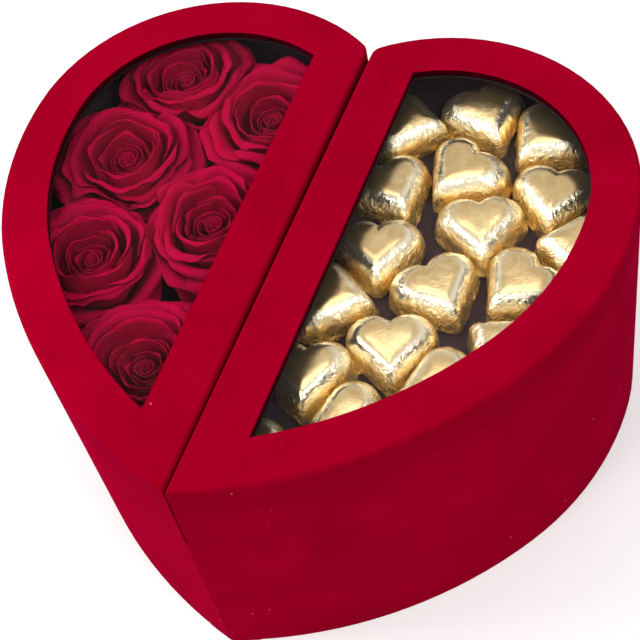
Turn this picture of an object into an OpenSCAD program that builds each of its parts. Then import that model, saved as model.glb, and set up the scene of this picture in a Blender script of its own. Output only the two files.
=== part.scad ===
// Heart-shaped gift box in two halves, with preserved roses in one half
// and foil-wrapped chocolate hearts in the other.
// The halves stand side by side, joined by a cloth hinge at the tip of the heart.
// Each half has a lift-off lid with a clear window.
// +Y runs from the tip to the notch, and the rose half lies on -X.
// The origin is on the table, under the middle of the closed heart.

/* [Heart outline] */
// Rise of the heart's edge as it leaves the tip, in degrees
tip_angle = 17.7; // [15:0.1:21]
// Radius of the long flank beside the tip
flank_r = 230; // [210:1:250]
// Turn of the flank, in degrees
flank_angle = 38.8; // [36:0.1:41]
// Radius of the shoulder at the widest place
shoulder_r = 150; // [140:1:165]
// Turn of the shoulder, in degrees
shoulder_angle = 35.8; // [33:0.1:38]
// Radius of the lobe
lobe_r = 91.6; // [86:0.1:98]

/* [Box] */
// Height of the closed box
box_h = 152; // [148:1:170]
// Depth of a lid's side
lid_h = 45.7; // [38:0.1:52]
// Hairline between lid and base
lid_seam = 0.3; // [0.2:0.1:1]
// Gap between the flat sides of the two halves, at the tip
seam_gap = 1; // [0.6:0.1:2]
// How far each half stands ajar, in degrees
splay = 0.2; // [0:0.1:0.5]
// Thickness of the velvet covering
velvet_t = 1; // [0.6:0.1:1.4]
// Thickness of the grey board of walls and lids
board_t = 2.5; // [2:0.1:3]
// Thickness of the floor board
floor_t = 3; // [2:0.1:5]
// Thickness of the black card of collars, trays and linings
card_t = 1.5; // [1:0.1:2]
// Clearance of the collar inside the walls and lid
collar_fit = 0.3; // [0.2:0.1:0.6]
// Headroom between the collar and the lid's lining
collar_headroom = 1; // [0.5:0.1:3]

/* [Windows] */
// Width of the lid's border along the curved side
window_border = 22; // [18:0.5:28]
// Width of the lid's border along the flat side
seam_border = 24; // [20:0.5:28]
// Thickness of the clear window
window_t = 0.5; // [0.3:0.1:1]

/* [Hinge and magnets] */
// Reach of the cloth hinge on each side of the tip
hinge_reach = 14; // [8:1:20]
// Diameter of a closing magnet
magnet_d = 10; // [6:0.5:14]
// Thickness of a closing magnet
magnet_t = 1.5; // [1:0.1:1.8]
// Clearance round a magnet in its pocket
magnet_fit = 0.1; // [0.05:0.05:0.2]
// Distance of the magnets from the notch
magnet_inset = 25; // [15:1:40]
// Height between the two magnets of a half
magnet_pitch = 50; // [30:1:70]

/* [Roses] */
// Space between the roses and the lid's lining
rose_headroom = 5.5; // [3.5:0.5:12]
// Height of a rose above the card
rose_h = 47.5; // [42:0.5:56]
// Reach of the outer petals from the middle of a rose
petal_reach = 37; // [33:0.5:42]
// Space between the petals and what they are pressed against
petal_gap = 0.5; // [0.3:0.1:1.5]
// Clearance of foam and trays inside the collar
insert_fit = 0.5; // [0.3:0.1:1]
// Diameter of a rose's stem
stem_d = 5; // [3:0.5:7]
// Length of stem in the foam
stem_depth = 40; // [20:1:60]
// Clearance round a stem in its hole
stem_fit = 0.2; // [0.1:0.1:0.4]
// Clearance round a stem in the card
card_hole_fit = 1; // [0.5:0.1:2]

/* [Chocolates] */
// Space between the chocolates and the lid's lining
choc_headroom = 9.5; // [5:0.5:24]
// Width of a chocolate heart
choc_w = 40; // [32:0.5:40.5]
// Length of a chocolate heart, from its lobes to its tip
choc_l = 36.5; // [30:0.5:37]
// Height of a chocolate heart
choc_h = 17; // [12:0.5:20]

/* [Hidden] */
halves = ["rose", "chocolate"];
wall_t = velvet_t + board_t;
collar_inset = wall_t + collar_fit;
insert_inset = collar_inset + card_t + insert_fit;
base_h = box_h - lid_h - lid_seam;
lid_z = box_h - lid_h;
lid_board_z = box_h - wall_t;
window_z = lid_board_z - window_t;
lining_z = window_z - card_t;
collar_top = lining_z - collar_headroom;
rose_top = lining_z - rose_headroom;
card_top = rose_top - rose_h;
foam_top = card_top - card_t;
tray_top = lining_z - choc_headroom - choc_h;
side_gap = seam_gap / 2;
// Overshoot of every cut, so that no skin is left
cut = 1;

// Chords in each arc of the outline
flank_n = 18;
shoulder_n = 12;
lobe_n = 26;
$fn = 48;

// Directions are measured as headings: the way the edge runs, from +X towards +Y.
// side_of(h) points outwards across an edge that runs along heading h.
function side_of(h) = [sin(h), -cos(h)];
flank_end = tip_angle + flank_angle;
shoulder_end = flank_end + shoulder_angle;
flank_c = -flank_r * side_of(tip_angle);
shoulder_c = flank_c + (flank_r - shoulder_r) * side_of(flank_end);
lobe_c = shoulder_c + (shoulder_r - lobe_r) * side_of(shoulder_end);

// Points first to n of an arc of n chords
function arc_points(c, r, from, to, n, first = 1) =
    [for (i = [first:n]) c + r * side_of(from + (to - from) * i / n)];

// Outline of the half heart on +X, drawn in from its curved edge by inset
// and starting at x = side, which is its flat side.
function half_outline(inset, side) = concat(
    arc_points(flank_c, flank_r - inset,
        asin((side - flank_c.x) / (flank_r - inset)), flank_end, flank_n, 0),
    arc_points(shoulder_c, shoulder_r - inset, flank_end, shoulder_end, shoulder_n),
    arc_points(lobe_c, lobe_r - inset,
        shoulder_end, 180 - asin((side - lobe_c.x) / (lobe_r - inset)), lobe_n));

// Length of the flat side, and depth of the whole closed heart
notch_y = lobe_c.y + sqrt(pow(lobe_r, 2) - pow(side_gap - lobe_c.x, 2));
heart_depth = lobe_c.y * cos(splay) - lobe_c.x * sin(splay) + lobe_r;
centre_y = heart_depth / 2;

velvet_red = [0.65, 0.02, 0.13];
rose_red = [0.58, 0.01, 0.14];
board_grey = [0.55, 0.53, 0.5];
card_black = [0.07, 0.06, 0.06];
foam_green = [0.12, 0.2, 0.12];
clear = [0.85, 0.9, 0.95, 0.35];
steel = [0.75, 0.75, 0.77];
foil_gold = [0.8, 0.66, 0.38];

// ---- Placing -------------------------------------------------------------

// Puts what is drawn on +X with the tip at 0 into its own half of the heart.
module in_half(half) {
    translate([0, -centre_y, 0])
        if (half == "rose")
            mirror([1, 0, 0]) rotate([0, 0, -splay]) children();
        else
            rotate([0, 0, -splay]) children();
}

// ---- Flat shapes ---------------------------------------------------------

module half_plate(inset, z, h) {
    translate([0, 0, z]) linear_extrude(h) polygon(half_outline(inset, side_gap + inset));
}

module half_ring(outer, inner, z, h) {
    difference() {
        half_plate(outer, z, h);
        half_plate(inner, z - cut, h + 2 * cut);
    }
}

// The window's outline, larger all round by grow
module window_plate(grow, z, h) {
    translate([0, 0, z])
        linear_extrude(h)
            polygon(half_outline(window_border - grow, side_gap + seam_border - grow));
}

// The strip of velvet along the flank that the hinge takes the place of.
// It ends at the inner corner of the tip, where the flat side's own skin begins.
module hinge_wing(h) {
    corner = half_outline(velvet_t, side_gap + velvet_t)[0];
    intersection() {
        difference() {
            half_plate(0, 0, h);
            half_plate(velvet_t, -cut, h + 2 * cut);
            translate([side_gap - cut, corner.y, -cut])
                cube([velvet_t + cut, hinge_reach, h + 2 * cut]);
        }
        translate([0, 0, -cut]) cylinder(r = hinge_reach, h = h + 2 * cut);
    }
}

// ---- Base of a half ------------------------------------------------------

module floor_board() {
    color(board_grey) half_plate(velvet_t, 0, floor_t);
}

// Discs lying in the flat wall, just under the velvet, at both magnet heights
module magnet_discs(r, t) {
    for (side = [-1, 1])
        translate([side_gap + velvet_t, notch_y - magnet_inset, base_h / 2 + side * magnet_pitch / 2])
            rotate([0, 90, 0]) cylinder(r = r, h = t);
}

module base_wall() {
    color(board_grey) difference() {
        half_ring(velvet_t, wall_t, floor_t, base_h - velvet_t - floor_t);
        magnet_discs(magnet_d / 2 + magnet_fit, magnet_t + magnet_fit);
    }
}

module magnets() {
    color(steel) magnet_discs(magnet_d / 2, magnet_t);
}

// Side skin, and the turn over the rim of the wall
module base_velvet() {
    color(velvet_red) difference() {
        union() {
            half_ring(0, velvet_t, 0, base_h);
            half_ring(0, wall_t, base_h - velvet_t, velvet_t);
        }
        hinge_wing(base_h - velvet_t);
    }
}

module collar() {
    color(card_black) half_ring(collar_inset, collar_inset + card_t, floor_t, collar_top - floor_t);
}

// ---- Lid of a half -------------------------------------------------------

module lid_top() {
    color(board_grey) difference() {
        half_plate(velvet_t, lid_board_z, board_t);
        window_plate(velvet_t, lid_board_z - cut, board_t + 2 * cut);
    }
}

module lid_wall() {
    color(board_grey)
        half_ring(velvet_t, wall_t, lid_z + velvet_t, lid_board_z - lid_z - velvet_t);
}

// Top and side skin, the turn under the side's lower edge, and the window's reveal
module lid_velvet() {
    color(velvet_red) difference() {
        union() {
            half_ring(0, velvet_t, lid_z, lid_h);
            half_ring(0, wall_t, lid_z, velvet_t);
            half_plate(0, box_h - velvet_t, velvet_t);
            window_plate(velvet_t, lid_board_z, wall_t);
        }
        window_plate(0, lid_board_z - cut, wall_t + 2 * cut);
    }
}

module window() {
    color(clear) half_plate(collar_inset, window_z, window_t);
}

module lid_lining() {
    color(card_black) difference() {
        half_plate(collar_inset, lining_z, card_t);
        window_plate(0, lining_z - cut, card_t + 2 * cut);
    }
}

// ---- Hinge at the tip ----------------------------------------------------

// One strip of velvet round the tip, over both flanks
module tip_hinge() {
    color(velvet_red) {
        in_half("rose") hinge_wing(base_h - velvet_t);
        in_half("chocolate") hinge_wing(base_h - velvet_t);
        translate([-side_gap * 1.2, -centre_y + side_gap / 2, 0])
            cube([side_gap * 2.4, velvet_t / 2, base_h - velvet_t]);
    }
}

// ---- What the rose half holds --------------------------------------------

// Each rose: distance from the seam, distance from the tip, and radius of its cup
roses = [[91, 226, 25.5], [38.5, 213, 28], [100, 172, 28], [43, 145, 28.5], [91, 112, 28.5],
    [42, 64, 31]];

module stem_holes(z, h, fit) {
    for (r = roses)
        translate([r.x, r.y, z]) cylinder(r = stem_d / 2 + fit, h = h);
}

module foam() {
    color(foam_green) difference() {
        half_plate(insert_inset, floor_t, foam_top - floor_t);
        stem_holes(foam_top - stem_depth, stem_depth + cut, stem_fit);
    }
}

module foam_card() {
    color(card_black) difference() {
        half_plate(insert_inset, foam_top, card_t);
        stem_holes(foam_top - cut, card_t + 2 * cut, card_hole_fit);
    }
}

// A turned flower on a calyx and a stem: rims of petals round a sunk bud, and outer petals that
// are pressed flat by the box and by the neighbours
module rose(i) {
    here = roses[i - 1];
    calyx = [[0, 0], [0.22, 0], [0.55, 0.2], [0.85, 0.45]];
    cup = [[0.98, 0.72], [0.86, 0.94], [0.8, 0.97], [0.73, 0.83], [0.66, 1], [0.6, 1], [0.53, 0.8],
        [0.47, 0.93], [0.42, 0.93], [0.36, 0.77], [0.31, 0.86], [0.26, 0.86], [0.2, 0.75],
        [0.14, 0.81], [0, 0.79]];
    section = concat([for (p = calyx) [p.x * here.z, p.y * rose_h]],
        [[petal_reach, 0.76 * rose_h], [petal_reach - 1, 0.82 * rose_h]],
        [for (p = cup) [p.x * here.z, p.y * rose_h]]);
    color(rose_red) {
        intersection() {
            half_plate(insert_inset + petal_gap, card_top - cut, rose_h + 2 * cut);
            difference() {
                translate([here.x, here.y, card_top]) rotate_extrude() polygon(section);
                for (other = roses) if (other != here) pressed_side(here, other);
            }
        }
        translate([here.x, here.y, foam_top - stem_depth + stem_fit])
            cylinder(r = stem_d / 2, h = stem_depth + card_t + stem_d);
    }
}

// The space beyond the plane where the petals of two roses meet
module pressed_side(here, other) {
    away = [other.x - here.x, other.y - here.y];
    meeting = norm(away) * here.z / (here.z + other.z) - petal_gap / 2;
    if (meeting < petal_reach)
        translate([here.x, here.y, card_top - cut]) rotate([0, 0, atan2(away.y, away.x)])
            translate([meeting, -box_h / 2, 0]) cube([box_h, box_h, box_h]);
}

// ---- What the chocolate half holds ---------------------------------------

module riser() {
    h = tray_top - card_t - floor_t;
    color(card_black) {
        half_ring(insert_inset, insert_inset + card_t, floor_t, h);
        // Cross wall under the middle of the tray
        intersection() {
            half_plate(insert_inset + card_t / 2, floor_t, h);
            translate([0, notch_y / 2, 0]) cube([shoulder_r, card_t, box_h]);
        }
    }
}

module tray() {
    color(card_black) half_plate(insert_inset, tray_top - card_t, card_t);
}

// Outline of a chocolate heart, lobes towards +Y, round its middle
lobe_share = 0.285;
choc_lobe_r = choc_w * lobe_share;
choc_lobe_x = choc_w / 2 - choc_lobe_r;
choc_tip_r = choc_w * 0.075;
// The straight flank leaves the lobe at this angle and meets the tip there too
choc_flank = [choc_lobe_x, choc_l - choc_lobe_r - choc_tip_r];
choc_angle = atan2(-choc_flank.x, choc_flank.y)
    - asin((choc_lobe_r - choc_tip_r) / norm(choc_flank));
notch_angle = acos(-choc_lobe_x / choc_lobe_r);
choc_side = concat(
    [for (i = [0:8]) let (a = notch_angle - 8 + (choc_angle - notch_angle + 8) * i / 8)
        [choc_lobe_x + choc_lobe_r * cos(a), choc_lobe_r * sin(a)]],
    [for (a = [choc_angle, (choc_angle - 90) / 2])
        [choc_tip_r * cos(a), choc_tip_r * sin(a) - choc_flank.y]]);
choc_mid = (choc_l - 2 * choc_lobe_r) / 2 - choc_w * 0.02;
choc_outline = [for (p = concat(
    [[0, choc_lobe_r * sin(notch_angle)]], choc_side,
    [[0, -choc_flank.y - choc_tip_r]],
    [for (i = [len(choc_side) - 1:-1:0]) [-choc_side[i].x, choc_side[i].y]])) p + [0, choc_mid]];
// Each level of the chocolate: share of its height and of its width
choc_levels = [[0, 0.9], [0.12, 0.98], [0.35, 1], [0.58, 0.95], [0.78, 0.83], [0.92, 0.66], [1, 0.42]];

module chocolate_heart() {
    n = len(choc_outline);
    m = len(choc_levels);
    points = concat(
        [for (l = choc_levels) for (p = choc_outline) [p.x * l[1], p.y * l[1], l[0] * choc_h]],
        [[0, 0, 0], [0, 0, choc_h * 1.01]]);
    bottom = n * m;
    top = bottom + 1;
    faces = concat(
        [for (k = [0:m - 2]) for (i = [0:n - 1]) let (j = (i + 1) % n)
            [k * n + i, k * n + j, (k + 1) * n + j]],
        [for (k = [0:m - 2]) for (i = [0:n - 1]) let (j = (i + 1) % n)
            [k * n + i, (k + 1) * n + j, (k + 1) * n + i]],
        [for (i = [0:n - 1]) [bottom, (i + 1) % n, i]],
        [for (i = [0:n - 1]) [top, (m - 1) * n + i, (m - 1) * n + (i + 1) % n]]);
    polyhedron(points, faces);
}

// Each chocolate: distance from the seam, distance from the tip,
// and the way its own tip points, in degrees from +X
chocolates = [[25, 226, 5], [59, 241, -54], [91, 234, -117], [30, 187, -49], [59, 204, -115],
    [77, 175, -70], [104, 201, -84], [122, 176, 186], [36, 151, -73], [69, 138, -47],
    [103, 149, -118], [106, 116, 157], [25, 121, 5], [59, 103, -70], [28, 80, -73],
    [85, 89, 215], [53, 62, 215], [27, 36, 5]];

module chocolate(i) {
    place = chocolates[i - 1];
    color(foil_gold)
        translate([place[0], place[1], tray_top])
            rotate([0, 0, place[2] + 90]) chocolate_heart();
}

// ---- Nodes ---------------------------------------------------------------

for (half = halves) {
    in_half(half) floor_board();
    in_half(half) base_wall();
    in_half(half) base_velvet();
    in_half(half) collar();
    in_half(half) magnets();
    in_half(half) lid_top();
    in_half(half) lid_wall();
    in_half(half) lid_velvet();
    in_half(half) window();
    in_half(half) lid_lining();
}
tip_hinge();
in_half("rose") foam();  // rose_foam
in_half("rose") foam_card();  // rose_foam_card
for (i = [1:6])
    in_half("rose") rose(i);
in_half("chocolate") riser();  // chocolate_riser
in_half("chocolate") tray();  // chocolate_tray
for (i = [1:18])
    in_half("chocolate") chocolate(i);
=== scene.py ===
import math
import random
import bpy
import numpy as np
from mathutils import Matrix, Vector, geometry, noise


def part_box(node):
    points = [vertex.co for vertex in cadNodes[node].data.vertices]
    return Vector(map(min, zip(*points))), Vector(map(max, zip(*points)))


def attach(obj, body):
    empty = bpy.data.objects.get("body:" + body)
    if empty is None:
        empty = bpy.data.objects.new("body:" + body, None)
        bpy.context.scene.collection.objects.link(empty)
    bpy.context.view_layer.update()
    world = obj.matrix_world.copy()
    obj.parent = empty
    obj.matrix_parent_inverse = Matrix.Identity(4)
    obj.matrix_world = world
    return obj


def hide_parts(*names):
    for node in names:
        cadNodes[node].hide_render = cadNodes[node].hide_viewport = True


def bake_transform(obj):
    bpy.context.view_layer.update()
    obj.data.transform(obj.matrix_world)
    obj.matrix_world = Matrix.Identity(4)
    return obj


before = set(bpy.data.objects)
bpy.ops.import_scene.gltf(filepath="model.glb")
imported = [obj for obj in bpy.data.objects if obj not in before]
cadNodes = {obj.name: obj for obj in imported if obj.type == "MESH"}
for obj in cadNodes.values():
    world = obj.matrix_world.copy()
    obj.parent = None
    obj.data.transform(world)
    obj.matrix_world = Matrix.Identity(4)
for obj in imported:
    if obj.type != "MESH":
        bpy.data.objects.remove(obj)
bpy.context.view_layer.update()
scene = bpy.context.scene
mm = 0.001
halves = ("rose", "chocolate")
noise.seed_set(7)     # or else noise_vector starts from the clock
print("frame loaded:", len(cadNodes), "pieces of the box")


class Wire:
    # one output socket, which can stand in a sum
    def __init__(self, paint, socket):
        self.paint = paint
        self.socket = socket

    def math(self, operation, first, second):
        return self.paint.add("ShaderNodeMath", {"operation": operation}, {0: first, 1: second})

    def __add__(self, other):
        return self.math("ADD", self, other)

    def __radd__(self, other):
        return self.math("ADD", other, self)

    def __sub__(self, other):
        return self.math("SUBTRACT", self, other)

    def __rsub__(self, other):
        return self.math("SUBTRACT", other, self)

    def __mul__(self, other):
        return self.math("MULTIPLY", self, other)

    def __rmul__(self, other):
        return self.math("MULTIPLY", other, self)

    def __pow__(self, other):
        return self.math("POWER", self, other)


class Paint:
    # a material under construction
    def __init__(self, name):
        self.material = bpy.data.materials.new(name)
        self.material.use_nodes = True
        self.tree = self.material.node_tree
        self.tree.nodes.clear()
        self.spot = self.add("ShaderNodeTexCoord", output="Object")

    def add(self, kind, settings=None, inputs=None, output=0):
        made = self.tree.nodes.new(kind)
        for key, value in (settings or {}).items():
            if key == "stops":
                self.setStops(made.color_ramp, value)
            else:
                setattr(made, key, value)
        for key, value in (inputs or {}).items():
            if isinstance(value, Wire):
                self.tree.links.new(value.socket, made.inputs[key])
            else:
                made.inputs[key].default_value = value
        return Wire(self, made.outputs[output]) if made.outputs else None

    def setStops(self, ramp, stops):
        for place, shade in stops[2:]:
            ramp.elements.new(place)
        for element, (place, shade) in zip(ramp.elements, stops):
            element.position = place
            element.color = (shade, shade, shade, 1)

    def moved(self, stretch, turn=(0, 0, 0), start=None):
        # where a pattern is read, stretched and turned
        turned = [math.radians(angle) for angle in turn]
        return self.add("ShaderNodeMapping", None,
                        {"Vector": start or self.spot, "Rotation": turned, "Scale": stretch})

    def cloud(self, scale, detail=2.0, rough=0.5, bend=0.0, where=None):
        return self.add("ShaderNodeTexNoise", None,
                        {"Vector": where or self.spot, "Scale": scale, "Detail": detail,
                         "Roughness": rough, "Distortion": bend})

    def fold(self, scale, where):
        # creases with a slope on each side, as crumpled foil has
        swell = self.cloud(scale, 1.0, 0.5, 0.5, where)
        return self.add("ShaderNodeMath", {"operation": "ABSOLUTE"}, {0: swell - 0.5}) * 2.0

    def cells(self, scale):
        return self.add("ShaderNodeTexVoronoi", None, {"Vector": self.spot, "Scale": scale})

    def ramp(self, source, *stops):
        return self.add("ShaderNodeValToRGB", {"stops": stops}, {"Fac": source})

    def blend(self, share, first, second):
        # sockets 6 and 7 are the Mix node's colours, output 2 its colour
        return self.add("ShaderNodeMix", {"data_type": "RGBA"}, {0: share, 6: first, 7: second}, 2)

    def bump(self, height, depth, strength):
        return self.add("ShaderNodeBump", None,
                        {"Height": height, "Distance": depth, "Strength": strength})

    def principled(self, **sockets):
        named = {key.replace("_", " "): value for key, value in sockets.items()}
        return self.add("ShaderNodeBsdfPrincipled", None, named)

    def finish(self, shader):
        self.add("ShaderNodeOutputMaterial", None, {"Surface": shader})
        return self.material


velvetLook = {
    "deep": (0.283, 0.0, 0.0115, 1),    # pile leaning towards the eye
    "bright": (0.385, 0.0, 0.020, 1),   # pile leaning away
    "lint": (0.78, 0.30, 0.36, 1),
    "shadeBandFrom": 132 * mm,               # painted shade: a darker band just under the lid's top edge
    "shadeBandWide": 22.5 * mm,
    "shadeBandWave": 8 * mm,                 # how far brush strokes move its edges
}
# painted shade: the velvet of the window's cut edge, darkened as in shadow
shadedRevealLook = {
    "deep": (0.022, 0.0, 0.002, 1),     # painted shade: the window's cut edge as velvet in shadow
    "bright": (0.045, 0.0, 0.004, 1),
    "lint": (0.30, 0.10, 0.11, 1),
    "shadeBandFrom": 132 * mm,
    "shadeBandWide": 22.5 * mm,
    "shadeBandWave": 8 * mm,
}


def makeVelvet(name, look):
    p = Paint(name)
    patches = p.cloud(17, 3, 0.55, 0.6)
    strokes = p.cloud(55, 3, 0.6, 0.4, p.moved((1, 0.35, 1), (0, 0, 28)))
    pile = p.cloud(1500, 2, 0.6)
    lean = patches * 0.62 + strokes * 0.28 + pile * 0.18
    height = p.add("ShaderNodeSeparateXYZ", None, {0: p.spot}, 2)
    # painted shade: a darker band just under the lid's top edge, taken off the cloth's tone
    below = (height + strokes * look["shadeBandWave"] - look["shadeBandFrom"]) * (1 / look["shadeBandWide"])
    shadeBand = p.ramp(below, (0.0, 0.0), (0.35, 1.0), (0.9, 1.0), (1.0, 0.0))
    tone = p.ramp(lean, (0.38, 0.0), (0.72, 1.0)) - shadeBand * 0.45
    cloth = p.blend(tone, look["deep"], look["bright"])
    specks = p.ramp(p.cells(90), (0.02, 1.0), (0.045, 0.0))
    fluff = specks * p.ramp(p.cloud(12), (0.50, 0.0), (0.62, 0.9))
    return p.finish(p.principled(
        Base_Color=p.blend(fluff, cloth, look["lint"]),
        Roughness=0.95, Specular_IOR_Level=0.0,
        Sheen_Weight=0.12, Sheen_Roughness=0.40, Sheen_Tint=(1.0, 0.02, 0.22, 1),
        Normal=p.bump(pile + strokes * 0.6, 0.16 * mm, 0.45)))


# Dark and light of the grain of what mostly lies hidden
plainLook = {
    "board": ((0.30, 0.28, 0.25, 1), (0.44, 0.42, 0.38, 1)),
    "card": ((0.030, 0.015, 0.020, 1), (0.060, 0.034, 0.041, 1)),
    "lining": ((0.006, 0.003, 0.004, 1), (0.014, 0.008, 0.010, 1)),
    "foam": ((0.008, 0.022, 0.010, 1), (0.035, 0.075, 0.035, 1)),
    "magnet": ((0.50, 0.50, 0.52, 1), (0.62, 0.62, 0.64, 1)),
    "stem": ((0.030, 0.045, 0.012, 1), (0.10, 0.11, 0.035, 1)),
}


def makeBoard():
    p = Paint("grey board")
    pulp = p.cloud(220, 5, 0.65)
    fibres = p.cloud(500, 3, 0.6, 1.5, p.moved((1, 0.2, 1), (0, 0, 35)))
    tone = p.ramp(pulp * 0.6 + fibres * 0.4, (0.35, 0.0), (0.65, 1.0))
    return p.finish(p.principled(
        Base_Color=p.blend(tone, *plainLook["board"]),
        Roughness=0.93, Normal=p.bump(fibres, 0.12 * mm, 0.4)))


def makeCard(name, shades, rough):
    p = Paint(name)
    grain = p.cloud(900, 3, 0.6)
    rub = p.cloud(30, 3, 0.5)
    tone = p.ramp(rub * 0.6 + grain * 0.4, (0.4, 0.0), (0.7, 1.0))
    return p.finish(p.principled(
        Base_Color=p.blend(tone, *shades), Specular_IOR_Level=0.3,
        Roughness=rough + grain * 0.2, Normal=p.bump(grain, 0.06 * mm, 0.4)))


def makeFoam():
    p = Paint("flower foam")
    pores = p.cells(900)
    dents = p.cloud(120, 3, 0.6)
    tone = p.ramp(pores, (0.1, 0.0), (0.55, 1.0))
    return p.finish(p.principled(
        Base_Color=p.blend(tone, *plainLook["foam"]),
        Roughness=0.96, Normal=p.bump(pores + dents, 0.3 * mm, 0.7)))


def makeMagnet():
    p = Paint("plated magnet")
    wear = p.cloud(350, 3, 0.6)
    return p.finish(p.principled(
        Base_Color=p.blend(wear, *plainLook["magnet"]),
        Metallic=1.0, Roughness=0.2 + wear * 0.2, Normal=p.bump(wear, 0.02 * mm, 0.3)))


def makeSheet():
    # clear plastic: see-through, with gloss by angle and a breath of haze
    p = Paint("clear sheet")
    smear = p.cloud(14, 3, 0.55, 0.8)
    facing = p.add("ShaderNodeLayerWeight", None, {"Blend": 0.5}, "Facing")
    gleam = facing ** 5.0 * 0.7 + 0.001     # mirrors more the flatter it is looked at
    clear = p.add("ShaderNodeBsdfTransparent", None, {"Color": (0.985, 0.985, 0.99, 1)})
    gloss = p.add("ShaderNodeBsdfGlossy", None, {"Color": (1, 1, 1, 1), "Roughness": 0.16})
    haze = p.add("ShaderNodeBsdfDiffuse", None, {"Color": (0.8, 0.8, 0.84, 1)})
    glass = p.add("ShaderNodeMixShader", None, {0: gleam, 1: clear, 2: gloss})
    veil = p.ramp(smear, (0.35, 0.0005), (0.7, 0.0022))
    return p.finish(p.add("ShaderNodeMixShader", None, {0: veil, 1: glass, 2: haze}))


petalLook = {
    "heart": (0.40, 0.0, 0.034, 1),    # painted shade: darker low in the flower
    "face": (0.48, 0.0, 0.041, 1),
    "edge": (0.49, 0.002, 0.052, 1),   # thin rims catch the light
}


def makePetal():
    p = Paint("rose petal")
    look = petalLook
    uv = p.add("ShaderNodeUVMap", {"uv_map": "UVMap"})
    across = p.add("ShaderNodeSeparateXYZ", None, {0: uv}, 0)
    up = p.add("ShaderNodeSeparateXYZ", None, {0: uv}, 1)
    side = p.add("ShaderNodeMath", {"operation": "ABSOLUTE"}, {0: across - 0.5})
    veins = p.cloud(26, 3, 0.6, 0.3, p.moved((1, 0.12, 1), start=uv))
    mottle = p.cloud(120, 3, 0.55)
    # painted shade: darker towards a petal's foot, deep in the flower
    depth = p.ramp(up, (0.30, 0.0), (0.90, 1.0))
    # painted highlight: lighter colour on the petals' thin rims
    rim = p.ramp((up + side * 0.2 + mottle * 0.04) * 0.9, (0.88, 0.0), (0.95, 1.0))
    tone = depth * (0.68 + mottle * 0.35) + veins * 0.30 - 0.10
    cloth = p.blend(tone, look["heart"], look["face"])
    return p.finish(p.principled(
        Base_Color=p.blend(rim * 0.35, cloth, look["edge"]),
        Roughness=0.8, Specular_IOR_Level=0.01,
        Sheen_Weight=0.03, Sheen_Roughness=0.45, Sheen_Tint=(1.0, 0.0, 0.20, 1),
        Normal=p.bump(veins + mottle * 0.4, 0.35 * mm, 0.5)))


def makeGreen():
    p = Paint("dried stem")
    streak = p.cloud(300, 3, 0.6, 0.2, p.moved((1, 1, 0.1)))
    return p.finish(p.principled(
        Base_Color=p.blend(streak, *plainLook["stem"]),
        Roughness=0.8, Normal=p.bump(streak, 0.2 * mm, 0.5)))


foilReflectionsAndWear = {
    "side": (0.99, 0.77, 0.38, 1),      # painted reflection: amber on the steep sides, where foil mirrors foil
    # painted highlight: the bevel paler, where it mirrors the softboxes
    "bevel": (1.0, 0.88, 0.63, 1),
    "top": (0.70, 0.485, 0.215, 1),     # painted reflection: the plateau darker, mirroring the room above
    "worn": (0.80, 0.60, 0.30, 1),
}


def makeFoil():
    p = Paint("gold foil")
    look = foilReflectionsAndWear
    normal = p.add("ShaderNodeNewGeometry", output="Normal")
    facing = p.add("ShaderNodeSeparateXYZ", None, {0: normal}, 2)
    flat = p.ramp(facing, (0.90, 0.0), (0.985, 1.0))
    steep = p.ramp(facing, (0.25, 1.0), (0.62, 0.0))
    broad = p.fold(170, p.moved((1, 1, 0.55), (0, 0, 20)))
    crush = p.fold(390, p.moved((1, 1, 0.7), (15, 0, -35)))
    fine = p.fold(820, p.moved((1.4, 1, 1), (0, 20, 50)))
    soft = p.cloud(120, 3, 0.6, 0.8)
    zones = p.ramp(p.cloud(75, 2, 0.5), (0.40, 0.25), (0.60, 1.0))
    creases = broad + crush * 0.6 + fine * 0.4
    calm = (steep * 0.60 + 0.40 - flat * 0.36) * zones
    # painted reflection and highlight: colour set by which way the foil faces (plateau, bevel, sides);
    # worn is the foil's own tone
    tint = p.blend(p.ramp(soft, (0.4, 0.0), (0.65, 1.0)), look["top"], look["worn"])
    rim = p.blend(steep, look["bevel"], look["side"])
    return p.finish(p.principled(
        Base_Color=p.blend(flat, rim, tint), Metallic=0.92,
        Roughness=0.17 + steep * 0.07 + soft * 0.06,
        Normal=p.bump(creases * calm + soft * 0.04, 1.5 * mm, 1.0)))


finishes = {
    "velvet": makeVelvet("velvet red", velvetLook),
    # painted shade on the window's cut edge
    "reveal": makeVelvet("shaded velvet cut edge", shadedRevealLook),
    "grey_board": makeBoard(),
    "black_card": makeCard("black card", plainLook["card"], 0.62),
    "lining": makeCard("black lining", plainLook["lining"], 0.8),
    "flower_foam": makeFoam(),
    "magnet": makeMagnet(),
    "clear_sheet": makeSheet(),
    "rose_petal": makePetal(),
    "stem": makeGreen(),
    "gold_foil": makeFoil(),
}
print("finishes mixed:", len(finishes))


def onlySelect(piece):
    bpy.ops.object.select_all(action="DESELECT")
    piece.select_set(True)
    bpy.context.view_layer.objects.active = piece


def editing(piece, mode, chosen=()):
    # into edit mode with only these edges or faces selected
    onlySelect(piece)
    bpy.ops.object.mode_set(mode="EDIT")
    bpy.ops.mesh.select_mode(type=mode)
    bpy.ops.mesh.select_all(action="DESELECT")
    bpy.ops.object.mode_set(mode="OBJECT")
    elements = piece.data.polygons if mode == "FACE" else piece.data.edges
    for index in chosen:
        elements[index].select = True
    bpy.ops.object.mode_set(mode="EDIT")


def doneEditing():
    bpy.ops.object.mode_set(mode="OBJECT")


def named(name):
    piece = bpy.context.active_object
    piece.name = piece.data.name = name
    return piece


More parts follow.
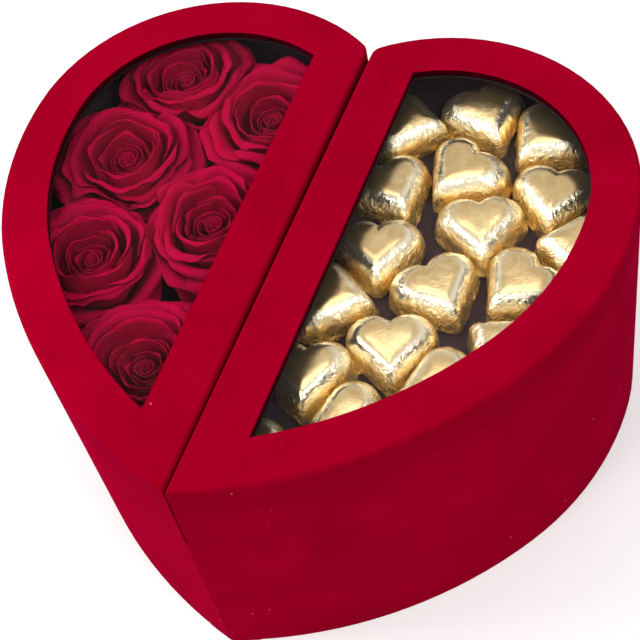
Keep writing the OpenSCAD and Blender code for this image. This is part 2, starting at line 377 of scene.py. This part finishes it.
def applyModifier(piece, kind, **settings):
    onlySelect(piece)
    modifier = piece.modifiers.new(kind.lower(), kind)
    for key, value in settings.items():
        setattr(modifier, key, value)
    bpy.ops.object.modifier_apply(modifier=modifier.name)


def smooth(piece, angle=32):
    onlySelect(piece)
    bpy.ops.object.shade_smooth_by_angle(angle=math.radians(angle))


def dress(piece, slot, *others):
    piece.data.materials.clear()
    for finish in (slot,) + others:
        piece.data.materials.append(finishes[finish])


# Velvet over bases and lids
velvet = {
    "topRound": 1.8 * mm,       # roll of the cloth over the lid's top edge
    "notchRound": 3.4 * mm,     # corner of the board at the heart's notch
    "notchReach": 5 * mm,       # how near the seam that corner lies
    "windowRound": 0.6 * mm,
    "revealDepth": 3.3 * mm,    # how far down the window's cut edge is painted in shade
    "hemRound": 0.12 * mm,      # lower edge of a lid, rim of a base
    "pile": 0.27 * mm,          # the pile of a lid's hem closes most of the seam
    "footRound": 1.0 * mm,
    "sameHeight": 0.01 * mm,    # edges this close to a level lie in it
}


def cleanCopy(node, name):
    # a copy of a CAD node with its loose triangles merged into whole faces
    piece = bpy.data.objects.new(name, cadNodes[node].data.copy())
    scene.collection.objects.link(piece)
    editing(piece, "VERT")
    bpy.ops.mesh.select_all(action="SELECT")
    bpy.ops.mesh.remove_doubles(threshold=0.002 * mm)
    bpy.ops.mesh.dissolve_limited(angle_limit=math.radians(0.4))
    bpy.ops.mesh.select_all(action="DESELECT")
    doneEditing()
    return piece


def edgeFaces(mesh):
    # the faces beside each edge
    beside = {}
    for face in mesh.polygons:
        for key in face.edge_keys:
            beside.setdefault(key, []).append(face)
    return beside


def roundEdges(piece, wanted, radius, steps):
    # wanted(middle, direction, normals) picks the edges that a bevel rounds
    mesh = piece.data
    beside = edgeFaces(mesh)
    flatAngle = math.radians(20)     # faces that meet at less have no corner
    chosen = []
    for edge in mesh.edges:
        faces = beside.get(edge.key, [])
        if len(faces) != 2 or faces[0].normal.angle(faces[1].normal, 0) < flatAngle:
            continue
        first, last = (mesh.vertices[i].co for i in edge.vertices)
        if wanted((first + last) / 2, (last - first).normalized(), [f.normal for f in faces]):
            chosen.append(edge.index)
    editing(piece, "EDGE", chosen)
    bpy.ops.mesh.bevel(offset=radius, segments=steps, profile=0.5, affect="EDGES",
                       clamp_overlap=False)
    doneEditing()


def facesOut(middle, normals, centre):
    # true on the outer skin, false on the inner one and in the window
    level = [n for n in normals if abs(n.z) < 0.5]
    return bool(level) and level[0].dot(middle - centre) > 0


def makeShell(half, part, body):
    node = half + part
    low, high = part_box(node)
    centre = sum(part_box(half + "_window"), Vector()) / 2
    piece = cleanCopy(node, node + "_cover")

    def corner(middle, direction, normals):
        upright = abs(direction.z) > 0.9
        outside = all(n.dot(middle - centre) > 0 for n in normals)
        return upright and outside and middle.y > 0 and abs(middle.x) < velvet["notchReach"]

    def runsAt(level, middle, direction):
        return abs(direction.z) < 0.1 and abs(middle.z - level) < velvet["sameHeight"]

    def rim(level):
        def wanted(middle, direction, normals):
            return runsAt(level, middle, direction) and facesOut(middle, normals, centre)
        return wanted

    def window(middle, direction, normals):
        return runsAt(high.z, middle, direction) and not facesOut(middle, normals, centre)

    roundEdges(piece, corner, velvet["notchRound"], 5)
    if part == "_lid_velvet":
        roundEdges(piece, rim(high.z), velvet["topRound"], 5)
        roundEdges(piece, window, velvet["windowRound"], 3)
        roundEdges(piece, rim(low.z), velvet["hemRound"], 3)
    else:
        roundEdges(piece, rim(high.z), velvet["hemRound"], 3)
        roundEdges(piece, rim(low.z), velvet["footRound"], 3)
    smooth(piece)
    applyModifier(piece, "WEIGHTED_NORMAL", keep_sharp=True, weight=80)
    dress(piece, "velvet", "reveal")
    if part == "_lid_velvet":
        for vertex in piece.data.vertices:
            if vertex.co.z < low.z + 5 * velvet["sameHeight"]:
                vertex.co.z -= velvet["pile"]
        for face in piece.data.polygons:
            inward = face.normal.dot(centre - face.center) > 0
            near = face.center.z > high.z - velvet["revealDepth"] - velvet["windowRound"]
            if inward and near and abs(face.normal.z) < 0.45:
                face.material_index = 1     # the reveal, in painted shade
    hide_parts(node)
    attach(piece, body)


for half in halves:
    makeShell(half, "_lid_velvet", half + "_lid")
    makeShell(half, "_velvet", half + "_base")
print("velvet wrapped round both halves")


def makeHinge():
    piece = cleanCopy("tip_hinge", "tip_hinge_cloth")
    smooth(piece)
    applyModifier(piece, "WEIGHTED_NORMAL", keep_sharp=True, weight=80)
    dress(piece, "velvet")
    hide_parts("tip_hinge")
    low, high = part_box("tip_hinge")
    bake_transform(piece)


makeHinge()


# Roses, in mm, with heights above the card
bloom = {
    "columns": 22,
    "rows": 22,
    "budColumns": 80,
    "budRows": 8,
    "thickness": 0.4,
    "seed": 40,
    "height": 47.5,
    "budTurns": 2.1,
    "budRadius": 4.8,
    "budDrop": 10.5,
    "lipStart": 0.82,          # share of a petal's height where its rim begins to roll
    "sizes": (25.5, 28, 28, 28.5, 28.5, 31),     # radius of each cup
    "ringSize": 28,            # radius of the rose that petalRings describes
    "ringReach": 35,           # reach of its outer petals
    "spread": 37,              # the most that any petal reaches
    "wallRoom": 0.7,
    "press": 0.9,              # how far neighbours push into each other
    "crush": 0.14,             # share of the free room in which petals are pressed together
    "swell": (2.5, 2.5, 2.6),  # long waves of a petal that dried unevenly
    "swellSize": 17,
    "crimp": 0.7,              # and its short ones
    "crimpSize": 5,
    "stem": 2.4,               # radius of the stem, which the foam holds
}

# How the stem's top is drawn out into a calyx: rise and growth of its radius
calyxSteps = ((1.2, 1.15), (1.6, 1.75), (2.4, 1.45), (3.2, 1.2))

# Rings of petals from the bud outwards: petals, rim radius, rim below the top, half width in
# degrees, how far it lies open, lip radius, roll of the lip, how it follows the room
petalRings = (
    (3, 7.4, 9.0, 84, 0.00, 0.5, 60, 0.0),
    (3, 11.6, 5.6, 80, 0.04, 0.7, 85, 0.0),
    (4, 17.0, 1.4, 66, 0.12, 1.1, 105, 0.1),
    (5, 23.2, 1.4, 50, 0.44, 1.8, 130, 0.4),
    (5, 29.5, 4.0, 48, 0.72, 2.1, 140, 0.8),
    (6, 34.5, 8.0, 42, 0.86, 2.2, 130, 1.0),
    (6, 34.0, 17.0, 42, 0.95, 1.8, 90, 1.0),
)


def petalGrid(columns, rows):
    bpy.ops.object.select_all(action="DESELECT")
    bpy.ops.mesh.primitive_grid_add(x_subdivisions=columns, y_subdivisions=rows, size=2)
    pattern = named("petal_pattern")
    return pattern, np.array([v.co[:] for v in pattern.data.vertices])


def hullSides(node, inset):
    # the sides of a piece as seen from above: normal and distance of each, in mm
    flat = [Vector((v.co.x, v.co.y)) / mm for v in cadNodes[node].data.vertices]
    ring = [flat[i] for i in geometry.convex_hull_2d(flat)]
    middle = sum(ring, Vector((0, 0))) / len(ring)
    sides = []
    for first, last in zip(ring, ring[1:] + ring[:1]):
        run = last - first
        if run.length > 0.01:
            normal = Vector((run.y, -run.x)).normalized()
            normal = normal if normal.dot(first - middle) > 0 else -normal
            sides.append((normal.x, normal.y, normal.dot(first) - inset))
    return sides


def roomAround(node, centre, radius, others, walls):
    # a function that gives the free distance from a rose's axis in any direction
    low, high = (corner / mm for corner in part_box(node))
    spare = 0.025 * (high - low)
    sides = list(walls)
    for place, size in others:
        away = place - centre
        reach = away.length * radius / (radius + size) + bloom["press"]
        away = away.normalized()
        sides.append((away.x, away.y, away.dot(centre) + reach))
    sides += [(1, 0, high.x + spare.x), (-1, 0, spare.x - low.x),
              (0, 1, high.y + spare.y), (0, -1, spare.y - low.y)]
    sides = np.array(sides)
    room = sides[:, 2] - sides[:, 0] * centre.x - sides[:, 1] * centre.y

    def free(turn):
        facing = np.column_stack((np.cos(turn), np.sin(turn))) @ sides[:, :2].T
        return np.where(facing > 1e-4, room / np.maximum(facing, 1e-4), 1e3).min(axis=1)
    return free


def bezier(points, t):
    a, b, c, d = points
    s = 1 - t
    return a * s ** 3 + b * 3 * s * s * t + c * 3 * s * t * t + d * t ** 3


def profile(rim, top, spread, lip, roll, up):
    # a petal's cut from base to rolled rim: distance from the axis and height,
    # between one that stands shut and one that lies wide open
    foot = top * (0.30 - 0.1 * spread)
    shut = [np.array(p) for p in ((1.5, foot), (1.14 * rim, foot + 1), (1.12 * rim, top * 0.82),
                                  (rim, top))]
    wide = [np.array(p) for p in ((2.0, foot), (0.50 * rim, foot + 1), (0.58 * rim, top + 1.0),
                                  (rim, top))]
    points = [a * (1 - spread) + b * spread for a, b in zip(shut, wide)]
    start = bloom["lipStart"]
    line = np.array([bezier(points, min(t / start, 1.0)) for t in up])
    way = points[3] - points[2]
    way = way / np.linalg.norm(way)
    out = np.array([way[1], -way[0]])
    angle = np.clip((up - start) / (1 - start), 0, 1) * math.radians(roll)
    return line + lip * (np.outer(np.sin(angle), way) + np.outer(1 - np.cos(angle), out))


def shapePetal(grid, heading, ring, size, draw):
    # heading, distance and height of each point of one petal
    rim, drop, half, spread, lip, roll, follow = ring[1:]
    rim = rim * draw.uniform(0.92, 1.06)
    top = bloom["height"] / size - drop - draw.uniform(0, 2.6) * (0.5 + spread)
    across, up = grid[:, 0], 1 - (0.5 - grid[:, 1] / 2) ** 1.25
    arch = 0.17 + 0.13 * spread + draw.uniform(-0.05, 0.05)     # its rim falls towards the sides
    rise = up * (1 - arch * np.abs(across) ** 2.4)
    curl = roll * draw.uniform(0.6, 1.25)
    line = profile(rim, top, spread, lip * draw.uniform(0.8, 1.3), curl, rise)
    width = 0.36 + 0.64 * np.sin(np.clip(up / 0.75, 0, 1) * math.pi / 2)
    turn = heading + np.radians(half * draw.uniform(0.9, 1.08)) * across * width
    reach = line[:, 0] + (1.3 + 0.5 * spread) * across * up    # one side tucks under its neighbour
    reach = reach + (0.3 + 2.0 * spread) * np.abs(across) ** 4 * up * draw.uniform(-0.6, 1.0)
    height = line[:, 1] - 3.4 * spread * np.abs(across) ** 3 * up * draw.uniform(0.0, 1.2)
    phase = draw.uniform(0, 6.28)     # a wave along the rim
    wave = np.sin(across * draw.uniform(2.5, 5.0) + phase) * up ** 2.5
    reach = reach + 0.9 * (0.3 + spread) * wave
    height = height + 1.1 * (0.25 + spread) * np.cos(across * draw.uniform(2.6, 3.8) + phase) * up ** 2
    fold = draw.random() ** 2 * spread * up ** 2 * (1 - np.abs(across))     # down its middle
    height = height + 2.6 * fold
    reach = reach - 1.5 * fold
    point = np.exp(-(across / 0.16) ** 2) * up ** 8     # the tip of a petal
    reach = reach + point * draw.uniform(0.0, 1.6 + 1.6 * spread)
    height = height + point * draw.uniform(-0.8, 0.5)
    ruffle = draw.uniform(0.5, 1.2) * (0.25 + 0.5 * spread)     # short waves of the rim
    reach = reach + ruffle * np.sin(across * draw.uniform(7, 11) + phase * 2) * up ** 6
    height = height + ruffle * np.cos(across * draw.uniform(7, 12) - phase) * up ** 6
    return turn, reach, height, follow, heading


def shapeBud(grid, size, draw):
    # a petal rolled up into a spiral
    share, up = (grid[:, 0] + 1) / 2, (grid[:, 1] + 1) / 2
    turn = share * bloom["budTurns"] * 2 * math.pi + draw.uniform(0, 6.28)
    reach = 0.4 + (bloom["budRadius"] - 0.4) * share ** 0.9 * (0.75 + 0.25 * up)
    reach = reach + 0.5 * np.clip((up - 0.8) / 0.2, 0, 1) ** 2
    top = bloom["height"] / size - bloom["budDrop"] + 1.8 * share - 0.9 * np.sin(turn * 1.4)
    return turn, reach, top * (0.45 + 0.55 * up), 0.0, 0.0


def settle(shape, size, free, centre, shift):
    # lay a petal out round the rose's axis and press it into the room that it has
    turn, reach, height, follow, heading = shape
    room = free(turn)
    ahead = min(free(np.array([heading]))[0], bloom["spread"])
    reach = reach * size * (1 + follow * (ahead / (bloom["ringReach"] * size) - 1))
    crush = bloom["crush"] * room
    edge = room - crush
    over = np.maximum(reach - edge, 0)
    pressed = crush * np.tanh(over / crush)
    height = height * size + 0.6 * (over - pressed)
    reach = np.where(over > 0, edge + pressed, reach)
    points = np.column_stack((reach * np.cos(turn), reach * np.sin(turn), height))
    soft = np.clip((reach - 3) / 10, 0, 1)     # the bud keeps its shape
    for i, point in enumerate(points):
        spot = Vector(point) / bloom["swellSize"] + shift
        fine = Vector(point) / bloom["crimpSize"] - shift
        points[i] += np.array(noise.noise_vector(spot)) * bloom["swell"] * soft[i]
        points[i] += np.array(noise.noise_vector(fine)) * bloom["crimp"] * soft[i]
    points[:, 2] = np.minimum(points[:, 2], bloom["height"])
    return points + centre


def growStem(node, centre, card):
    # a round stem from its hole in the foam up through the card, opening into the calyx
    x, y = centre * mm
    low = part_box(node)[0].z
    length = (card + 1) * mm - low
    bpy.ops.object.select_all(action="DESELECT")
    bpy.ops.mesh.primitive_cylinder_add(vertices=16, radius=bloom["stem"] * mm, depth=length,
                                        location=(x, y, low + length / 2))
    stem = named("stem")
    bpy.ops.object.transform_apply(location=True, rotation=False, scale=False)
    editing(stem, "FACE", [face.index for face in stem.data.polygons if face.normal.z > 0.9])
    for rise, growth in calyxSteps:
        bpy.ops.mesh.extrude_region_move(TRANSFORM_OT_translate={"value": (0, 0, rise * mm)})
        bpy.ops.transform.resize(value=(growth, growth, 1), center_override=(x, y, 0))
    doneEditing()
    smooth(stem, 50)
    stem.data.materials.append(finishes["stem"])
    return stem


def makeRose(number, places, leaf, bud, walls):
    node = "rose_%d" % number
    centre, radius = places[node]
    size = radius / bloom["ringSize"]
    draw = random.Random(bloom["seed"] + number)
    others = [places[name] for name in places if name != node]
    free = roomAround(node, centre, radius, others, walls)
    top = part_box(node)[1].z / mm
    base = np.array((centre.x, centre.y, top - bloom["height"]))
    shift = Vector((number * 3.7, number * 1.9, 0))
    leafPattern, leafGrid = leaf
    budPattern, budGrid = bud
    shapes = [(budPattern, shapeBud(budGrid, size, draw))]
    heading = draw.uniform(0, 6.28)
    for ring in petalRings:
        heading = heading + draw.uniform(0.5, 1.1)
        for k in range(ring[0]):
            place = heading + k * 2 * math.pi / ring[0] + draw.uniform(-0.16, 0.16)
            shapes.append((leafPattern, shapePetal(leafGrid, place, ring, size, draw)))
    parts = []
    for pattern, shape in shapes:
        mesh = pattern.data.copy()
        points = settle(shape, size, free, base, shift) * mm
        mesh.vertices.foreach_set("co", points.astype(np.float32).ravel())
        part = bpy.data.objects.new("petal", mesh)
        scene.collection.objects.link(part)
        parts.append(part)
    onlySelect(parts[0])
    for part in parts:
        part.select_set(True)
    bpy.ops.object.join()
    piece = named("rose_bloom_%d" % number)
    applyModifier(piece, "SOLIDIFY", thickness=bloom["thickness"] * mm, offset=0)
    smooth(piece, 58)
    dress(piece, "rose_petal")
    stem = growStem(node, centre, base[2])
    onlySelect(piece)
    stem.select_set(True)
    bpy.ops.object.join()
    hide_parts(node)
    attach(piece, "rose_base")


def rosePlaces():
    # each rose's axis, which is the middle of its stem's foot, and its radius
    places = {}
    for number, radius in enumerate(bloom["sizes"], 1):
        node = "rose_%d" % number
        points = np.array([v.co[:] for v in cadNodes[node].data.vertices]) / mm
        foot = points[points[:, 2] < points[:, 2].min() + 5]
        places[node] = (Vector((foot.min(axis=0) + foot.max(axis=0))[:2] / 2), radius)
    return places


places = rosePlaces()
leaf = petalGrid(bloom["columns"], bloom["rows"])
bud = petalGrid(bloom["budColumns"], bloom["budRows"])
walls = hullSides("rose_foam_card", bloom["wallRoom"])
for number in range(1, len(places) + 1):
    makeRose(number, places, leaf, bud, walls)
for pattern, grid in (leaf, bud):
    bpy.data.objects.remove(pattern)
print("roses in bloom:", len(places))


# Foil hearts
sweet = {
    "width": 41.6 * mm,
    "length": 38 * mm,
    "height": 17.4 * mm,
    "lobe": 0.285,             # radius of a lobe, as a share of the width
    "tip": 0.075,
    "lobeSteps": 15,
    "crush": 0.42 * mm,        # depth of the foil's folds on the sides
    "foldsPerMetre": (300, 300, 130),
    "ripple": 0.10 * mm,       # slow waves all over
    "ripplesPerMetre": 90,
    "skirt": 1.8 * mm,         # how far the foil gathered at the foot stands out
    "skirtHeight": 5.5 * mm,
    "gathersPerMetre": 130,
    "lean": 0.055,             # slope of a plateau that isn't quite level
    "ringLevel": 0.347,        # share of a solid's height at which its points make a clear ring
    "count": 18,
}

# A heart's side, from the foot to the edge of the plateau: share of the height and of the width
sweetLevels = ((0.0, 0.98), (0.04, 1.0), (0.16, 0.995), (0.36, 0.985), (0.56, 0.955), (0.70, 0.895),
               (0.85, 0.775), (0.935, 0.665), (0.98, 0.53), (0.998, 0.35))


def heartOutline():
    # the edge of a heart, lobes towards +Y, from the notch round to the notch
    width, length = sweet["width"], sweet["length"]
    lobe, tip = width * sweet["lobe"], width * sweet["tip"]
    out = width / 2 - lobe
    run = Vector((out, length - lobe - tip))
    flank = math.atan2(-run.x, run.y) - math.asin((lobe - tip) / run.length)
    notch = math.acos(-out / lobe)
    middle = (length - 2 * lobe) / 2 - width * 0.02
    side = []
    for i in range(sweet["lobeSteps"] + 1):
        a = notch + (flank - notch) * i / sweet["lobeSteps"]
        side.append(Vector((out + lobe * math.cos(a), lobe * math.sin(a) + middle)))
    tipArc = [Vector((tip * math.cos(a), tip * math.sin(a) - run.y + middle))
              for a in (flank, (flank * 2 - math.pi / 2) / 3, (flank - math.pi) / 3)]
    last = side[-1]
    for i in range(1, 5):
        side.append(last.lerp(tipArc[0], i / 5))
    side.extend(tipArc)
    bottom = Vector((0, -run.y - tip + middle))
    mirrored = [Vector((-p.x, p.y)) for p in reversed(side[1:])]
    return side + [bottom] + mirrored


def heartPattern():
    # a ring set on the outline, drawn up level by level and closed on top and below
    outline = heartOutline()
    bpy.ops.object.select_all(action="DESELECT")
    bpy.ops.mesh.primitive_circle_add(vertices=len(outline), fill_type="NGON")
    piece = named("heart_pattern")
    foot = sweetLevels[0][1]
    for vertex, place in zip(piece.data.vertices, outline):
        vertex.co = (place.x * foot, place.y * foot, 0)
    bpy.ops.object.mode_set(mode="EDIT")
    bpy.ops.mesh.select_mode(type="FACE")
    bpy.ops.mesh.select_all(action="SELECT")
    for (lowShare, lowWide), (share, wide) in zip(sweetLevels, sweetLevels[1:]):
        rise = (share - lowShare) * sweet["height"]
        bpy.ops.mesh.extrude_region_move(TRANSFORM_OT_translate={"value": (0, 0, rise)})
        factor = wide / lowWide
        bpy.ops.transform.resize(value=(factor, factor, 1),
                                 center_override=(0, 0, share * sweet["height"]))
    for factor in (0.62, 0.35):
        rise = 0.001 * sweet["height"]
        bpy.ops.mesh.extrude_region_move(TRANSFORM_OT_translate={"value": (0, 0, rise)})
        bpy.ops.transform.resize(value=(factor, factor, 1),
                                 center_override=(0, 0, sweet["height"]))
    bpy.ops.mesh.select_all(action="SELECT")
    bpy.ops.mesh.normals_make_consistent(inside=False)
    doneEditing()
    applyModifier(piece, "SUBSURF", levels=2, render_levels=2)
    return piece


def crumple(points, normals, seed):
    # folds of foil: sharp on the sides, faint on the plateau
    moved = points.copy()
    shift = Vector((seed * 7.3, seed * 3.1, seed * 5.7))
    gathers = sweet["gathersPerMetre"]
    for i, (place, normal) in enumerate(zip(points, normals)):
        steep = min(max((0.99 - normal[2]) / 0.35, 0), 1)
        spot = Vector(place * sweet["foldsPerMetre"]) + shift
        ridge = noise.ridged_multi_fractal(spot, 1.0, 2.2, 3, 1.0, 2.0) - 1.1
        swell = noise.noise(Vector(place) * sweet["ripplesPerMetre"] + shift)
        move = sweet["crush"] * 0.5 * ridge * steep + sweet["ripple"] * swell * (1.2 + steep)
        level = math.hypot(normal[0], normal[1])
        low = max(1 - place[2] / sweet["skirtHeight"], 0) ** 1.5 * min(level * 1.5, 1)
        gather = noise.noise(Vector((place[0] * gathers, place[1] * gathers, 4)) + shift)
        flare = sweet["skirt"] * low * max(0.45 + 1.1 * gather, 0.05)
        out = np.array((normal[0], normal[1], 0)) / max(level, 0.01)
        moved[i] = place + normal * move + out * flare
    return moved


def sweetPlace(node):
    # middle of a heart and the way its tip points: its notch is the rim point nearest the middle
    points = np.array([v.co[:] for v in cadNodes[node].data.vertices])
    apex = points[np.argmax(points[:, 2])]
    low = points[:, 2].min()
    level = low + sweet["ringLevel"] * (apex[2] - low)
    rim = points[np.abs(points[:, 2] - level) < 0.05 * mm]
    away = rim[:, :2] - apex[:2]
    notch = away[np.argmin(np.linalg.norm(away, axis=1))]
    return Vector((apex[0], apex[1], low)), math.atan2(notch[1], notch[0]) - math.pi / 2


def makeSweet(number, pattern):
    node = "chocolate_%d" % number
    place, turn = sweetPlace(node)
    mesh = pattern.data.copy()
    points = np.array([v.co[:] for v in mesh.vertices])
    normals = np.array([v.normal[:] for v in mesh.vertices])
    points = crumple(points, normals, number)
    draw = random.Random(number)     # the plateau leans a little, the foot stays
    slope = np.array([draw.uniform(-1, 1), draw.uniform(-1, 1)]) * sweet["lean"]
    points[:, 2] += (points[:, :2] @ slope) * np.clip(points[:, 2] / sweet["height"], 0, 1) ** 2
    points[:, 2] = np.maximum(points[:, 2], 0)
    spin = np.array(Matrix.Rotation(turn, 3, "Z"))
    points = points @ spin.T + np.array(place)
    mesh.vertices.foreach_set("co", points.astype(np.float32).ravel())
    mesh.update()
    piece = bpy.data.objects.new("foil_heart_%d" % number, mesh)
    scene.collection.objects.link(piece)
    onlySelect(piece)
    bpy.ops.object.shade_smooth()
    dress(piece, "gold_foil")
    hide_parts(node)
    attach(piece, "chocolate_base")


pattern = heartPattern()
for number in range(1, sweet["count"] + 1):
    makeSweet(number, pattern)
bpy.data.objects.remove(pattern)
print("foil hearts laid on the tray:", sweet["count"])


# Board, card, foam and windows keep their CAD shape
plainFinish = {
    "_floor": "grey_board", "_wall": "grey_board", "_lid_top": "grey_board", "_lid_wall": "grey_board",
    "_collar": "black_card", "_lid_lining": "lining", "_tray": "black_card",
    "_riser": "black_card", "_foam_card": "black_card", "_foam": "flower_foam",
    "_magnets": "magnet", "_window": "clear_sheet",
}

for name, node in cadNodes.items():
    if node.hide_render:     # another piece stands for it
        continue
    ending = max((e for e in plainFinish if name.endswith(e)), key=len)
    node.data.materials.clear()
    node.data.materials.append(finishes[plainFinish[ending]])
print("boards, cards and windows finished")


studio = {
    "floorSize": 12,
    "floorShade": (0.86, 0.86, 0.87, 1),
    "glow": 0.30,             # lifts the floor to white for the camera alone
    "ambient": 0.43,
    "aim": (0, 0, 0.1),       # what the lamps point at
}
lamps = (
    # name, direction from the box and height angle in degrees, distance, size, power, colour
    ("left softbox", -165, 30, 1.20, 0.60, 9.2, (1.0, 0.99, 0.97)),
    ("front softbox", -112, 46, 1.25, 0.32, 2.7, (1.0, 0.99, 0.98)),
    ("top softbox", 115, 76, 1.30, 0.70, 2.7, (1.0, 1.0, 1.0)),
    ("right softbox", -25, 50, 1.35, 0.50, 6.3, (1.0, 1.0, 1.0)),
)
view = {
    "place": (0.2325, -0.3597, 0.68471),
    "turn": (34.565, 7.948, 20.635),
    "lens": 86.5,
    "sensor": 36,
    "nearest": 0.05,
    "farthest": 20,
}


def makeFloor():
    bpy.ops.object.select_all(action="DESELECT")
    bpy.ops.mesh.primitive_plane_add(size=studio["floorSize"], location=(0, 0, 0))
    floor = named("studio_floor")
    p = Paint("floor")
    rays = p.add("ShaderNodeLightPath", output="Is Camera Ray")
    floor.data.materials.append(p.finish(p.principled(
        Base_Color=studio["floorShade"], Roughness=0.9, Specular_IOR_Level=0.1,
        Emission_Color=(1, 1, 1, 1), Emission_Strength=rays * studio["glow"])))


def makeWorld():
    # white where it is seen, mirrored or looked at through the windows, and dimmer as a light
    world = bpy.data.worlds.new("studio")
    scene.world = world
    world.use_nodes = True
    tree = world.node_tree
    tree.nodes.clear()
    rays = tree.nodes.new("ShaderNodeLightPath")
    seen = rays.outputs["Is Camera Ray"]
    for kind in ("Is Glossy Ray", "Is Transmission Ray"):
        either = tree.nodes.new("ShaderNodeMath")
        either.operation = "MAXIMUM"
        tree.links.new(seen, either.inputs[0])
        tree.links.new(rays.outputs[kind], either.inputs[1])
        seen = either.outputs[0]
    level = tree.nodes.new("ShaderNodeMapRange")
    level.inputs["To Min"].default_value = studio["ambient"]
    level.inputs["To Max"].default_value = 1.0
    back = tree.nodes.new("ShaderNodeBackground")
    out = tree.nodes.new("ShaderNodeOutputWorld")
    tree.links.new(seen, level.inputs["Value"])
    tree.links.new(level.outputs[0], back.inputs["Strength"])
    tree.links.new(back.outputs[0], out.inputs["Surface"])


def makeLamps():
    for name, direction, height, distance, size, power, colour in lamps:
        a = math.radians(direction)
        e = math.radians(height)
        away = Vector((math.cos(a) * math.cos(e), math.sin(a) * math.cos(e), math.sin(e)))
        data = bpy.data.lights.new(name, "AREA")
        data.size = size
        data.energy = power
        data.color = colour
        lamp = bpy.data.objects.new(name, data)
        scene.collection.objects.link(lamp)
        lamp.location = Vector(studio["aim"]) + away * distance
        lamp.rotation_euler = away.to_track_quat("Z", "Y").to_euler()


def makeCamera():
    data = bpy.data.cameras.new("camera")
    data.lens = view["lens"]
    data.sensor_width = view["sensor"]
    data.clip_start = view["nearest"]
    data.clip_end = view["farthest"]
    camera = bpy.data.objects.new("camera", data)
    scene.collection.objects.link(camera)
    camera.location = view["place"]
    camera.rotation_euler = [math.radians(a) for a in view["turn"]]
    scene.camera = camera


makeFloor()
makeWorld()
makeLamps()
makeCamera()
scene.view_settings.view_transform = "Standard"
print("studio set, with", len(lamps), "lamps")
